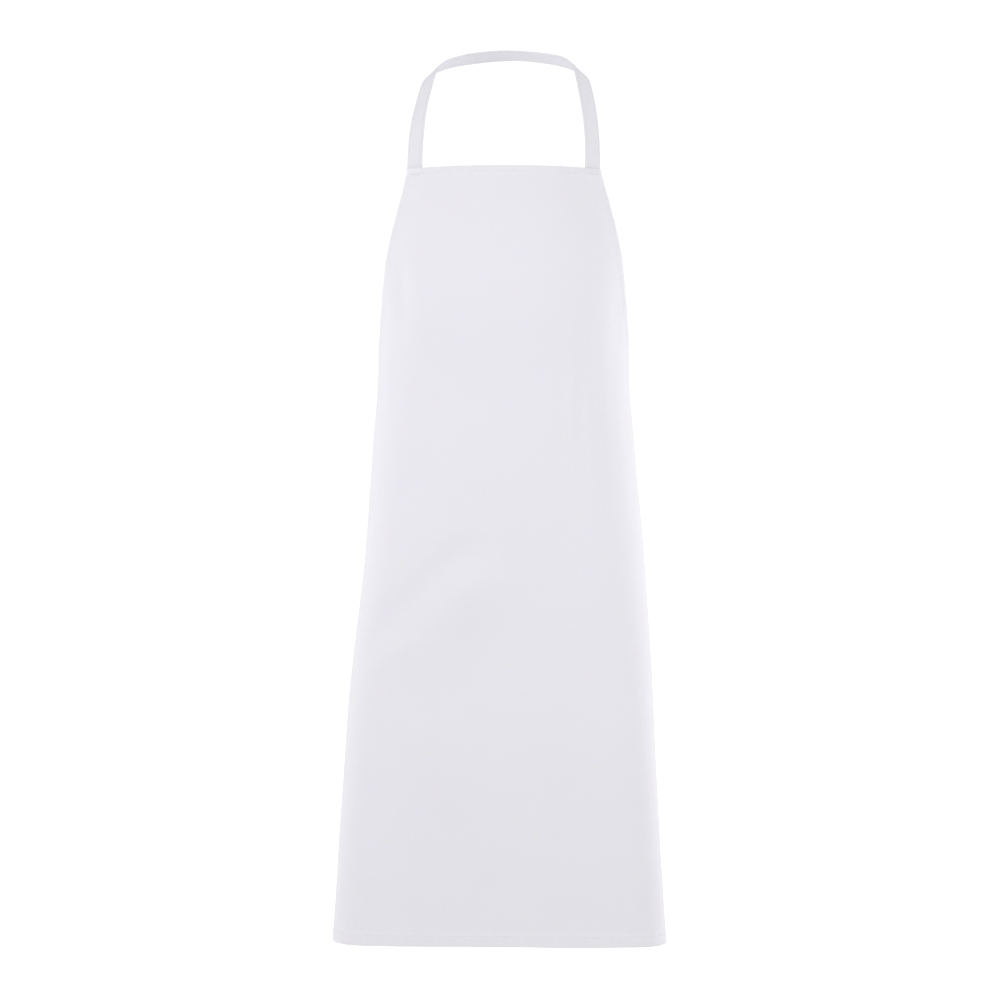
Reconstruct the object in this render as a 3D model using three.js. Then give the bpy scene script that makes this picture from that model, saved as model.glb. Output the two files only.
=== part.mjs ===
// A bib apron of plain woven cloth, shown in its worn shape: the panel wraps the
// front of a standing body, a fixed neck strap goes up over the shoulders and round
// the back of the neck, and two waist ties close it behind with a bow.
//
// Millimetres, +Z up. +X is the wearer's left, -Y is the way the wearer faces.
// The origin is the middle of the neck strap's inner face at the back of the neck,
// where the apron hangs.
import * as THREE from "three";

// ---------------------------------------------------------------- driving sizes
const PANEL_LENGTH = 1000; // bib top to bottom hem, down the front centre line
const CLOTH_T = 0.6; // one layer of twill
const HEM_T = 1.1; // the turned part of a double-folded hem
const GAP = 0.3; // clearance between neighbouring solids
const TOP_HEM = 10; // hem depths
const SIDE_HEM = 9;
const BOTTOM_HEM = 15;
const THREAD_W = 0.8; // a row of lockstitch
const THREAD_T = 0.4;
const STRAP_W = 26; // neck strap
const STRAP_T = 1.6;
const STRAP_SEWN = 30; // length of strap sewn behind the bib top
const TIE_W = 26; // waist ties
const TIE_T = 1.2;
const TIE_SEWN = 28;
const TIE_LEVEL = 311; // centre of the ties below the bib top
const ARMHOLE_END = 296; // where the armhole curve meets the side edge
const TAIL_LENGTH = 330;
const LOOP_REACH = 92;
const KNOT = [13, 10, 11]; // half sizes of the bow's knot
const PANEL_COLUMNS = 33; // odd, so that a flat facet lies on the centre line
const STRAP_STEPS = 22; // on each side of the neck

// ---------------------------------------------------------------- the panel's shape
// Horizontal sections of the worn panel. t is the distance below the bib top.
// Each section starts at the front centre line and turns through phi(s) as the arc
// length s grows: phi reaches 90 degrees at s90, at the wearer's side, and backTurn
// at the full flat half width.
//  t, centre x, flat half width, turn exponent, s90, backTurn, front depth
const STATIONS = [
  [0, 5.1, 139.0, 1.2, 233.0, 168.0, 22.0],
  [30, 5.8, 149.0, 1.23, 237.0, 168.0, 16.0],
  [60, 5.9, 159.5, 1.26, 243.0, 168.0, 10.0],
  [106, 5.5, 173.0, 1.31, 251.0, 168.0, 3.9],
  [150, 5.2, 185.0, 1.36, 243.0, 168.0, 1.0],
  [190, 5.3, 197.5, 1.41, 234.5, 168.0, 0.7],
  [225, 5.1, 213.0, 1.45, 229.2, 168.0, 3.0],
  [250, 4.9, 236.0, 1.5, 226.4, 168.0, 5.2],
  [268, 4.8, 262.0, 1.55, 225.4, 168.0, 6.6],
  [280, 4.8, 296.0, 1.57, 225.0, 168.0, 7.2],
  [289, 4.7, 336.0, 1.59, 224.6, 168.0, 7.6],
  [296, 4.7, 375.0, 1.6, 224.4, 168.0, 7.8],
  [350, 4.7, 375.0, 1.76, 224.5, 166.2, 7.0],
  [400, 5.1, 375.0, 1.9, 225.4, 164.6, 5.2],
  [450, 5.8, 375.0, 2.08, 226.6, 162.9, 3.7],
  [500, 6.1, 375.0, 2.25, 227.6, 161.3, 2.5],
  [550, 5.4, 375.0, 2.42, 229.6, 159.6, 1.2],
  [600, 3.8, 375.0, 2.6, 232.4, 158.0, 0.0],
  [650, 2.4, 375.0, 2.8, 234.4, 156.5, -0.8],
  [700, 1.2, 375.0, 3.0, 235.6, 155.0, -1.5],
  [750, 0.4, 375.0, 3.2, 236.2, 153.5, -2.2],
  [800, -0.2, 375.0, 3.4, 236.9, 152.0, -3.0],
  [850, -0.6, 375.0, 3.6, 238.4, 150.5, -3.8],
  [900, -0.7, 375.0, 3.8, 240.1, 149.0, -4.5],
  [950, -0.7, 375.0, 4.0, 242.1, 147.5, -5.2],
  [1000, -0.7, 375.0, 4.2, 244.3, 146.0, -6.0],
];
const HALF_WIDTH = 375;
const EDGE_RISE = 9; // the back edges slant outwards, so they hang a little higher

// Neck strap centre line from the wearer's right (-X) to the left, with z up from
// the bib top, and the direction of its width.
const NECK_BACK = [6.5, 200.0, 166.5];
const STRAP_PATH = [
  [-110.7, 67.4, 3.4, -0.74, 0.67, 0.0],
  [-111.0, 70.0, 16.0, -0.74, 0.67, -0.02],
  [-110.2, 76.0, 38.0, -0.73, 0.67, -0.1],
  [-106.9, 86.0, 71.5, -0.69, 0.68, -0.2],
  [-101.3, 96.0, 92.0, -0.64, 0.7, -0.3],
  [-97.6, 104.0, 106.5, -0.58, 0.72, -0.38],
  [-91.3, 118.0, 127.5, -0.48, 0.75, -0.46],
  [-81.5, 138.0, 142.5, -0.34, 0.78, -0.52],
  [-61.0, 165.0, 153.5, -0.18, 0.83, -0.52],
  [-36.0, 187.0, 161.0, -0.07, 0.87, -0.49],
  [-3.5, 200.0, 166.5, 0.0, 0.883, -0.469],
  [16.5, 200.0, 166.5, 0.0, 0.883, -0.469],
  [52.0, 189.0, 161.8, 0.07, 0.87, -0.49],
  [83.0, 165.0, 152.5, 0.18, 0.83, -0.52],
  [99.0, 142.0, 141.0, 0.34, 0.78, -0.52],
  [107.2, 122.0, 127.0, 0.48, 0.75, -0.46],
  [111.5, 104.0, 106.5, 0.58, 0.72, -0.38],
  [113.6, 96.0, 92.0, 0.64, 0.7, -0.3],
  [117.5, 84.0, 66.0, 0.69, 0.68, -0.2],
  [119.8, 74.0, 34.0, 0.73, 0.67, -0.1],
  [120.3, 70.0, 16.0, 0.74, 0.67, -0.02],
  [120.2, 67.4, 3.4, 0.74, 0.67, 0.0],
];

// ---------------------------------------------------------------- small mathematics
const V = (x, y, z) => new THREE.Vector3(x, y, z);
const lerp = (a, b, f) => a + (b - a) * f;

// Monotone cubic through table rows [x, v1, v2, ...]: value of column k at x.
function cubic(rows, k, x) {
  const n = rows.length;
  if (x <= rows[0][0]) return rows[0][k];
  if (x >= rows[n - 1][0]) return rows[n - 1][k];
  let i = 0;
  while (x > rows[i + 1][0]) i++;
  const slope = (j) => (rows[j + 1][k] - rows[j][k]) / (rows[j + 1][0] - rows[j][0]);
  const tangent = (j) => {
    if (j === 0) return slope(0);
    if (j === n - 1) return slope(n - 2);
    const a = slope(j - 1),
      b = slope(j);
    return a * b <= 0 ? 0 : (2 * a * b) / (a + b);
  };
  const h = rows[i + 1][0] - rows[i][0],
    u = (x - rows[i][0]) / h;
  const m0 = tangent(i) * h,
    m1 = tangent(i + 1) * h;
  return (
    (2 * u ** 3 - 3 * u ** 2 + 1) * rows[i][k] +
    (u ** 3 - 2 * u ** 2 + u) * m0 +
    (-2 * u ** 3 + 3 * u ** 2) * rows[i + 1][k] +
    (u ** 3 - u ** 2) * m1
  );
}

const at = (t, k) => cubic(STATIONS, k, t);
const flatHalf = (t) => at(t, 2);
const sections = new Map();
// The section at t as a table of [x, y] against arc length, from the centre line.
function section(t) {
  const key = t.toFixed(4);
  if (sections.has(key)) return sections.get(key);
  const p = at(t, 3),
    s90 = at(t, 4),
    back = THREE.MathUtils.degToRad(at(t, 5));
  const q = (((Math.PI / 2) * p) / s90) * ((HALF_WIDTH - s90) / (back - Math.PI / 2));
  const phi = (s) =>
    s <= s90
      ? (Math.PI / 2) * Math.pow(Math.max(s, 0) / s90, p)
      : Math.PI / 2 +
        (back - Math.PI / 2) *
          (1 - Math.pow(Math.max(0, 1 - (s - s90) / (HALF_WIDTH - s90)), q));
  const N = 750,
    ds = HALF_WIDTH / N,
    table = [[0, 0]];
  for (let i = 0; i < N; i++) {
    const m = phi((i + 0.5) * ds);
    table.push([table[i][0] + Math.cos(m) * ds, table[i][1] + Math.sin(m) * ds]);
  }
  const found = (s) => {
    const u = s / ds,
      i = Math.min(N - 1, Math.floor(u)),
      f = u - i;
    return [lerp(table[i][0], table[i + 1][0], f), lerp(table[i][1], table[i + 1][1], f)];
  };
  sections.set(key, found);
  return found;
}

const smooth = (x) => {
  const c = Math.min(1, Math.max(0, x));
  return c * c * (3 - 2 * c);
};
// A point of the cloth's middle surface: s is the signed arc length from the centre
// line, positive to the wearer's left, and t the distance below the bib top.
function onPanel(s, t) {
  const [x, y] = section(t)(Math.abs(s));
  const rise =
    EDGE_RISE *
    smooth((t - ARMHOLE_END) / (PANEL_LENGTH - ARMHOLE_END)) *
    smooth((Math.abs(s) - 150) / (HALF_WIDTH - 150));
  return V(at(t, 1) + Math.sign(s) * x, at(t, 6) + y, -t + rise);
}
// The outward normal of the cloth there: towards -Y at the front centre.
function outward(s, t) {
  const e = 1.5;
  const s0 = Math.max(-HALF_WIDTH, s - e),
    s1 = Math.min(HALF_WIDTH, s + e);
  const t0 = Math.max(0, t - e),
    t1 = Math.min(PANEL_LENGTH, t + e);
  const ds = onPanel(s1, t).sub(onPanel(s0, t));
  const dt = onPanel(s, t1).sub(onPanel(s, t0));
  return dt.cross(ds).normalize();
}

// ---------------------------------------------------------------- solids
function signedVolume(pos, idx) {
  let v = 0;
  for (let i = 0; i < idx.length; i += 3) {
    const [a, b, c] = [0, 1, 2].map((k) => pos[idx[i + k]]);
    v += a.dot(b.clone().cross(c));
  }
  return v / 6;
}
function solid(pos, idx) {
  if (signedVolume(pos, idx) < 0)
    for (let i = 0; i < idx.length; i += 3) [idx[i + 1], idx[i + 2]] = [idx[i + 2], idx[i + 1]];
  const g = new THREE.BufferGeometry();
  g.setAttribute(
    "position",
    new THREE.Float32BufferAttribute(pos.flatMap((p) => [p.x, p.y, p.z]), 3),
  );
  g.setIndex(idx);
  g.computeVertexNormals();
  return g;
}
// A closed sheet between two grids of points, rows by columns.
function sheet(outer, inner) {
  const R = outer.length,
    C = outer[0].length,
    pos = [...outer.flat(), ...inner.flat()],
    idx = [];
  const a = (r, c) => r * C + c,
    b = (r, c) => R * C + r * C + c;
  for (let r = 0; r < R - 1; r++)
    for (let c = 0; c < C - 1; c++) {
      idx.push(a(r, c), a(r + 1, c), a(r + 1, c + 1), a(r, c), a(r + 1, c + 1), a(r, c + 1));
      idx.push(b(r, c), b(r + 1, c + 1), b(r + 1, c), b(r, c), b(r, c + 1), b(r + 1, c + 1));
    }
  const rim = (p, q) => idx.push(a(...p), a(...q), b(...q), a(...p), b(...q), b(...p));
  for (let c = 0; c < C - 1; c++) {
    rim([0, c], [0, c + 1]);
    rim([R - 1, c + 1], [R - 1, c]);
  }
  for (let r = 0; r < R - 1; r++) {
    rim([r + 1, 0], [r, 0]);
    rim([r, C - 1], [r + 1, C - 1]);
  }
  return solid(pos, idx);
}
// A strip of cloth along stations {p, across, n, w, th}: across is the direction of
// its width and n its outer face's normal.
function strip(stations) {
  const outer = [],
    inner = [];
  for (const k of stations) {
    const half = k.across.clone().multiplyScalar(k.w / 2),
      up = k.n.clone().multiplyScalar(k.th / 2);
    outer.push([k.p.clone().sub(half).add(up), k.p.clone().add(half).add(up)]);
    inner.push([k.p.clone().sub(half).sub(up), k.p.clone().add(half).sub(up)]);
  }
  return sheet(outer, inner);
}

// ---------------------------------------------------------------- materials
const cloth = (roughness) =>
  new THREE.MeshStandardMaterial({
    color: new THREE.Color().setRGB(0.86, 0.86, 0.9),
    roughness,
    metalness: 0,
    side: THREE.DoubleSide,
  });
const thread = () =>
  new THREE.MeshStandardMaterial({
    color: new THREE.Color().setRGB(0.9, 0.9, 0.93),
    roughness: 0.6,
    metalness: 0,
  });

// The origin moves to the neck rest: the middle of the strap's inner face.
const neckNormal = V(0, 0.469, 0.883).normalize(); // the strap's outer face at the back
const neckRest = V(...NECK_BACK).sub(neckNormal.clone().multiplyScalar(STRAP_T / 2));
const apron = new THREE.Group();
apron.position.copy(neckRest).negate();
function piece(name, geometry, material) {
  const m = new THREE.Mesh(geometry, material);
  m.name = name;
  apron.add(m);
  return m;
}

// ---------------------------------------------------------------- panel
// Grid rows, with rows on the hem and stitch lines and more of them where the
// armhole curve turns out to the waist. Stitching lies STITCH_IN from a hem's turn.
const STITCH_IN = 2;
const ROWS = [
  0, TOP_HEM - STITCH_IN - THREAD_W, TOP_HEM - STITCH_IN, TOP_HEM,
  30, 60, 90, 120, 150, 180, 205, 225, 240, 252, 262, 271, 279, 285, 291,
  ARMHOLE_END, 330, 380, 430, 480, 530, 580, 630, 680, 730, 780, 830, 880, 930,
  PANEL_LENGTH - BOTTOM_HEM, PANEL_LENGTH - BOTTOM_HEM + STITCH_IN,
  PANEL_LENGTH - BOTTOM_HEM + STITCH_IN + THREAD_W, PANEL_LENGTH,
];
const TOP_ROW = ROWS.indexOf(TOP_HEM);
const ARMHOLE_ROW = ROWS.indexOf(ARMHOLE_END);
function columns(t) {
  const h = flatHalf(t),
    inside = h - SIDE_HEM,
    stitch = [inside + STITCH_IN, inside + STITCH_IN + THREAD_W, h],
    s = stitch.map((v) => -v).reverse();
  for (let i = 0; i <= PANEL_COLUMNS; i++) s.push(inside * ((2 * i) / PANEL_COLUMNS - 1));
  return [...s, ...stitch];
}
const grid = ROWS.map((t) => columns(t).map((s) => ({ s, t, p: onPanel(s, t), n: outward(s, t) })));
const lift = (k, d) => k.p.clone().addScaledVector(k.n, d);
const between = (a, b, f) => ({
  p: a.p.clone().lerp(b.p, f),
  n: a.n.clone().lerp(b.n, f).normalize(),
});
// Closed sheet over a sub-grid, lying between two distances from the cloth's middle.
const layer = (cells, from, to) =>
  sheet(
    cells.map((r) => r.map((k) => lift(k, to))),
    cells.map((r) => r.map((k) => lift(k, from))),
  );

piece("apron_panel", layer(grid, -CLOTH_T / 2, CLOTH_T / 2), cloth(0.9));

// Hems: the twice-turned edge, lying on the body side of the panel.
const HEM_IN = -CLOTH_T / 2 - GAP - HEM_T,
  HEM_OUT = -CLOTH_T / 2 - GAP;
const THREAD_IN = CLOTH_T / 2 + GAP,
  THREAD_OUT = CLOTH_T / 2 + GAP + THREAD_T;
const LAST = grid[0].length - 1,
  BOTTOM = ROWS.length - 1,
  HEM_ROW = BOTTOM - 3;
piece("bib_top_hem", layer(grid.slice(0, TOP_ROW + 1), HEM_IN, HEM_OUT), cloth(0.9));
piece("bottom_hem", layer(grid.slice(HEM_ROW), HEM_IN, HEM_OUT), cloth(0.9));

// Grid cells of the edge columns c0 to c1 from row a to row b, drawn in from their
// neighbours by startGap and endGap.
function edgeCells(c0, c1, a, b, startGap, endGap) {
  const cells = [];
  for (let r = a; r <= b; r++) {
    let row = grid[r].slice(c0, c1 + 1);
    const draw = (other, gap) => {
      row = row.map((k, i) => {
        const n = grid[other][c0 + i];
        return between(k, n, gap / k.p.distanceTo(n.p));
      });
    };
    if (r === a && startGap) draw(r + 1, startGap);
    if (r === b && endGap) draw(r - 1, endGap);
    cells.push(row);
  }
  return cells;
}
for (const [side, name] of [[1, "left"], [-1, "right"]]) {
  const [h0, h1] = side > 0 ? [LAST - 3, LAST] : [0, 3];
  const [c0, c1] = side > 0 ? [LAST - 2, LAST - 1] : [1, 2];
  const hem = (a, b) => layer(edgeCells(h0, h1, a, b, GAP, GAP), HEM_IN, HEM_OUT);
  const row = (a, b, g0, g1) => layer(edgeCells(c0, c1, a, b, g0, g1), THREAD_IN, THREAD_OUT);
  piece("armhole_hem_" + name, hem(TOP_ROW, ARMHOLE_ROW), cloth(0.9));
  piece("side_hem_" + name, hem(ARMHOLE_ROW, HEM_ROW), cloth(0.9));
  piece("armhole_stitching_" + name, row(TOP_ROW, ARMHOLE_ROW, GAP, 3), thread());
  piece("side_stitching_" + name, row(ARMHOLE_ROW, HEM_ROW, 3, GAP), thread());
}
piece(
  "bib_top_stitching",
  layer(grid.slice(1, 3).map((r) => r.slice(2, LAST - 1)), THREAD_IN, THREAD_OUT),
  thread(),
);
piece(
  "bottom_stitching",
  layer(grid.slice(BOTTOM - 2, BOTTOM).map((r) => r.slice(2, LAST - 1)), THREAD_IN, THREAD_OUT),
  thread(),
);

// ---------------------------------------------------------------- neck strap
// Centripetal curves through the two halves of the path; the middle span is straight
// and flat, and is the face that rests on the neck.
const MIDDLE = STRAP_PATH.findIndex((k) => k[0] === -3.5);
function strapStations() {
  const pts = STRAP_PATH.map((k) => V(k[0], k[1], k[2]));
  const curve = new THREE.CatmullRomCurve3(pts, false, "centripetal");
  const n = pts.length - 1;
  const samples = [];
  const half = (u0, u1) => {
    for (let i = 0; i <= STRAP_STEPS; i++) samples.push(u0 + ((u1 - u0) * i) / STRAP_STEPS);
  };
  half(0, MIDDLE / n);
  half((MIDDLE + 1) / n, 1);
  return samples.map((u) => {
    const k = u * n,
      i = Math.min(n - 1, Math.floor(k + 1e-9)),
      f = Math.max(0, k - i);
    const p = curve.getPoint(u);
    let tangent = curve.getTangent(u);
    const isMiddle = i === MIDDLE || (i === MIDDLE - 1 && f > 1 - 1e-6);
    if (isMiddle || (i === MIDDLE + 1 && f < 1e-6)) tangent = V(1, 0, 0);
    const wdt = V(...STRAP_PATH[i].slice(3)).lerp(V(...STRAP_PATH[i + 1].slice(3)), smooth(f));
    wdt.addScaledVector(tangent, -wdt.dot(tangent)).normalize();
    // tangent x width points away from the neck all the way round
    const nrm = tangent.clone().cross(wdt).normalize();
    return { p, tangent, across: wdt, n: nrm, w: STRAP_W, th: STRAP_T };
  });
}
const strap = strapStations();
piece("neck_strap", strip(strap), cloth(0.85));
for (const [name, off] of [["outer", STRAP_W / 2 - 3], ["inner", -(STRAP_W / 2 - 3)]])
  piece(
    "neck_strap_stitching_" + name,
    strip(
      strap.slice(1, -1).map((k) => ({
        ...k,
        p: k.p
          .clone()
          .addScaledVector(k.across, off)
          .addScaledVector(k.n, STRAP_T / 2 + 2 * GAP + THREAD_T / 2),
        w: THREAD_W,
        th: THREAD_T,
      })),
    ),
    thread(),
  );

// The sewn ends lie behind the top hem, under the strap's first station.
const STRAP_BEHIND = -CLOTH_T / 2 - GAP - HEM_T - GAP - STRAP_T / 2;
for (const [side, name] of [[1, "left"], [-1, "right"]]) {
  const middle = flatHalf(0) - STRAP_W / 2;
  const cells = [0.6, TOP_HEM, 20, STRAP_SEWN].map((t) =>
    [-1, -0.33, 0.33, 1].map((e) => {
      const s = side * (middle + (e * STRAP_W) / 2);
      return { p: onPanel(s, t), n: outward(s, t) };
    }),
  );
  piece(
    "neck_strap_end_" + name,
    layer(cells, STRAP_BEHIND - STRAP_T / 2, STRAP_BEHIND + STRAP_T / 2),
    cloth(0.85),
  );
  const bar = [TOP_HEM - 1.6, TOP_HEM - 0.3].map((t) =>
    [-0.72, -0.24, 0.24, 0.72].map((e) => {
      const s = side * (middle + (e * STRAP_W) / 2);
      return { p: onPanel(s, t), n: outward(s, t) };
    }),
  );
  piece("neck_bartack_" + name, layer(bar, THREAD_IN, THREAD_OUT + 0.4), thread());
}

// ---------------------------------------------------------------- waist ties and bow
const tieBehind = -CLOTH_T / 2 - GAP - HEM_T - 2 * GAP - TIE_T / 2;
const knotCentre = V(4.7, 232, -TIE_LEVEL - 1);
for (const [side, name] of [[1, "left"], [-1, "right"]]) {
  // the sewn end, then the free band across the back to the knot
  const st = [];
  for (const s of [HALF_WIDTH - TIE_SEWN, HALF_WIDTH - TIE_SEWN / 2, HALF_WIDTH]) {
    const n = outward(side * s, TIE_LEVEL);
    st.push({
      p: onPanel(side * s, TIE_LEVEL).addScaledVector(n, tieBehind),
      across: onPanel(side * s, TIE_LEVEL - 13).sub(onPanel(side * s, TIE_LEVEL + 13)).normalize(),
      n,
      w: TIE_W,
      th: TIE_T,
    });
  }
  const start = st[2].p,
    end = knotCentre.clone().add(V(side * (KNOT[0] + 0.9), -4.5, 0));
  const leave = start.clone().sub(st[1].p).normalize();
  const reach = start.distanceTo(end);
  const free = new THREE.CubicBezierCurve3(
    start,
    start.clone().addScaledVector(leave, reach * 0.35),
    end.clone().add(V(side * reach * 0.35, -1.5, 0)),
    end,
  );
  for (let i = 1; i <= 8; i++) {
    const f = i / 8,
      tan = free.getTangent(f);
    st.push({
      p: free.getPoint(f),
      across: st[2].across.clone().lerp(V(0, 0, 1), smooth(f)).normalize(),
      n: V(-tan.y * side, tan.x * side, 0)
        .multiplyScalar(-1)
        .normalize(),
      w: lerp(TIE_W, 13, smooth(f)),
      th: lerp(TIE_T, 2.6, smooth(f)),
    });
  }
  for (const k of st) if (k.n.y < 0) k.n.negate();
  piece("waist_tie_" + name, strip(st), cloth(0.85));

  // a bar of dense stitches through the panel's edge and the tie
  const bar = [-1, 0, 1].map((e) =>
    [HALF_WIDTH - 15, HALF_WIDTH - 13.4].map((s) => ({
      p: onPanel(side * s, TIE_LEVEL + e * 10),
      n: outward(side * s, TIE_LEVEL + e * 10),
    })),
  );
  piece("waist_bartack_" + name, layer(bar, THREAD_IN, THREAD_OUT + 0.3), thread());

  // bow loop: out to the side and down a little, two layers of the tie with a fold at the end
  const droop = THREE.MathUtils.degToRad(side > 0 ? 17 : 22);
  const out = V(side * Math.cos(droop), 0, -Math.sin(droop)),
    wide = V(side * Math.sin(droop), 0, Math.cos(droop));
  const root = knotCentre.clone().addScaledVector(out, KNOT[0] + 1.2);
  const loopPts = [
    [0, 3.6], [14, 5.2], [34, 9.0], [58, 11.0], [78, 9.4], [LOOP_REACH - 3, 5.4],
    [LOOP_REACH, 1.2], [LOOP_REACH - 3, -2.8], [78, -4.8], [58, -5.2], [34, -3.8], [14, -2.2], [0, -1.2],
  ].map(([a, b]) => root.clone().addScaledVector(out, a).add(V(0, b, 0)));
  const loop = new THREE.CatmullRomCurve3(loopPts, false, "centripetal");
  const loopSt = [];
  for (let i = 0; i <= 24; i++) {
    const f = i / 24,
      p = loop.getPoint(f),
      tan = loop.getTangent(f);
    const from = p.clone().sub(root).dot(out) / LOOP_REACH;
    loopSt.push({
      p,
      across: wide,
      n: wide.clone().cross(tan).normalize(),
      w: lerp(13, TIE_W, smooth(from * 1.6)),
      th: TIE_T,
    });
  }
  piece("bow_loop_" + name, strip(loopSt), cloth(0.85));

  // tail: hangs from under the knot
  const top = knotCentre.clone().add(V(side * 5.6, 1.5, -KNOT[2] - 2.8));
  const length = TAIL_LENGTH + (side > 0 ? 0 : 24);
  const tailPts = [
    [0, 0, 0], [2.5, 0.8, -18], [6.5, 2.2, -60], [9.5, 3.2, -0.36 * length],
    [13, 3.4, -0.6 * length], [16, 3.0, -0.82 * length], [19, 3.4, -length],
  ].map(([a, b, c]) => top.clone().add(V(side * a, b, c)));
  const tail = new THREE.CatmullRomCurve3(tailPts, false, "centripetal");
  const tailSt = [];
  for (let i = 0; i <= 20; i++) {
    const f = i / 20,
      tan = tail.getTangent(f),
      turn = side * lerp(0.1, 0.42, smooth(f)) + (side > 0 ? 0 : 0.08);
    const flat = V(Math.cos(turn), Math.sin(turn), 0);
    flat.addScaledVector(tan, -flat.dot(tan)).normalize();
    tailSt.push({
      p: tail.getPoint(f),
      across: flat,
      n: flat.clone().cross(tan).normalize(),
      w: lerp(8.5, TIE_W, smooth(f * 7)),
      th: lerp(2.2, TIE_T, smooth(f * 6)),
    });
  }
  // the narrow top starts beside the other tail, so it widens outwards only
  for (const k of tailSt) k.p.x += side * (k.w - 8.5) * 0.5;
  piece("tie_tail_" + name, strip(tailSt), cloth(0.85));
}
{
  const g = new THREE.SphereGeometry(1, 20, 12);
  const p = g.attributes.position;
  for (let i = 0; i < p.count; i++) {
    const v = V(p.getX(i), p.getY(i), p.getZ(i));
    const r = 1 / Math.pow(Math.abs(v.x) ** 2.6 + Math.abs(v.y) ** 2.6 + Math.abs(v.z) ** 2.6, 1 / 2.6);
    p.setXYZ(i, v.x * r * KNOT[0], v.y * r * KNOT[1], v.z * r * KNOT[2]);
  }
  g.translate(knotCentre.x, knotCentre.y, knotCentre.z);
  g.computeVertexNormals();
  piece("bow_knot", g, cloth(0.85));
}

export default apron;
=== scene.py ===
import math
import bpy
import numpy as np
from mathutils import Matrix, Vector

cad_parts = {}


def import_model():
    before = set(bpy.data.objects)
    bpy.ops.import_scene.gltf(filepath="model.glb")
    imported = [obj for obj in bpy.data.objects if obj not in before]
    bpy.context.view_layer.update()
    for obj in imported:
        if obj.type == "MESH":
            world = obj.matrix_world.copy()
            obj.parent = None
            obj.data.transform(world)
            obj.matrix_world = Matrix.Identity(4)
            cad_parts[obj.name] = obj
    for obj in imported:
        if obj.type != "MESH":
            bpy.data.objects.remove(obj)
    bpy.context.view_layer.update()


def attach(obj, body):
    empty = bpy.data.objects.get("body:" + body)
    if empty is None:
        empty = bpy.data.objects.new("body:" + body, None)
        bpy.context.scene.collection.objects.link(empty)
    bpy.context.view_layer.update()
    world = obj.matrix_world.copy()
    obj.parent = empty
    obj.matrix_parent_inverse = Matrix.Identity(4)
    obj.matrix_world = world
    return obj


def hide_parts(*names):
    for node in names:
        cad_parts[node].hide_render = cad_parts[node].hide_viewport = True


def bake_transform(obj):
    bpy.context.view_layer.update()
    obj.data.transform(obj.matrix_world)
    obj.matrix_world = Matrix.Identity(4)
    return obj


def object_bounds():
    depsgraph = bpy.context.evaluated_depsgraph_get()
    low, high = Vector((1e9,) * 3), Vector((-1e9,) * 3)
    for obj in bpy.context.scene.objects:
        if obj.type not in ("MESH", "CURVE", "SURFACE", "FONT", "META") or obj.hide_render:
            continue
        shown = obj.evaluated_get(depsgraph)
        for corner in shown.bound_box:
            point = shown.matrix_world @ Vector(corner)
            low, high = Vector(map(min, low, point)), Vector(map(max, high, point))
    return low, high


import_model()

NECK_NORMAL = np.array([0.0, 0.469, 0.883]) / math.hypot(0.469, 0.883)
NECK_REST = np.array([6.5, 200.0, 166.5]) - NECK_NORMAL * 0.8


def world(p):
    return (np.asarray(p, float) - NECK_REST) / 1000.0


# ------------------------------------------------------------------ sizes
LENGTH, HALF, EDGE_RISE = 1000.0, 375.0, 9.0
TOP_HEM, SIDE_HEM, BOTTOM_HEM = 10.0, 9.0, 15.0
SIDE_STITCH, TOP_STITCH, BOTTOM_STITCH = 6.6, 7.6, 12.6  # from the cloth's edge
ARM_END, TIE_LEVEL, TIE_SEWN = 296.0, 311.0, 28.0
CLOTH, HEM = 0.5, 1.0
STRAP_W, STRAP_T, TIE_W, TIE_T = 26.0, 1.6, 26.0, 1.2
KNOT = (13.0, 10.0, 11.0)
KNOT_AT = np.array([4.7, 232.0, -TIE_LEVEL - 1])
TAIL, LOOP = 330.0, 92.0

# t, centre x, flat half width, turn exponent, s90, turn at the back edge, front depth
STATIONS = np.array([
    [0, 5.1, 139.0, 1.2, 233.0, 168.0, 22.0], [30, 5.8, 149.0, 1.23, 237.0, 168.0, 16.0],
    [60, 5.9, 159.5, 1.26, 243.0, 168.0, 10.0], [106, 5.5, 173.0, 1.31, 251.0, 168.0, 3.9],
    [150, 5.2, 185.0, 1.36, 243.0, 168.0, 1.0], [190, 5.3, 197.5, 1.41, 234.5, 168.0, 0.7],
    [225, 5.1, 213.0, 1.45, 229.2, 168.0, 3.0], [250, 4.9, 236.0, 1.5, 226.4, 168.0, 5.2],
    [268, 4.8, 262.0, 1.55, 225.4, 168.0, 6.6], [280, 4.8, 296.0, 1.57, 225.0, 168.0, 7.2],
    [289, 4.7, 336.0, 1.59, 224.6, 168.0, 7.6], [296, 4.7, 375.0, 1.6, 224.4, 168.0, 7.8],
    [350, 4.7, 375.0, 1.76, 224.5, 166.2, 7.0], [400, 5.1, 375.0, 1.9, 225.4, 164.6, 5.2],
    [450, 5.8, 375.0, 2.08, 226.6, 162.9, 3.7], [500, 6.1, 375.0, 2.25, 227.6, 161.3, 2.5],
    [550, 5.4, 375.0, 2.42, 229.6, 159.6, 1.2], [600, 3.8, 375.0, 2.6, 232.4, 158.0, 0.0],
    [650, 2.4, 375.0, 2.8, 234.4, 156.5, -0.8], [700, 1.2, 375.0, 3.0, 235.6, 155.0, -1.5],
    [750, 0.4, 375.0, 3.2, 236.2, 153.5, -2.2], [800, -0.2, 375.0, 3.4, 236.9, 152.0, -3.0],
    [850, -0.6, 375.0, 3.6, 238.4, 150.5, -3.8], [900, -0.7, 375.0, 3.8, 240.1, 149.0, -4.5],
    [950, -0.7, 375.0, 4.0, 242.1, 147.5, -5.2], [1000, -0.7, 375.0, 4.2, 244.3, 146.0, -6.0]])

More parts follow.
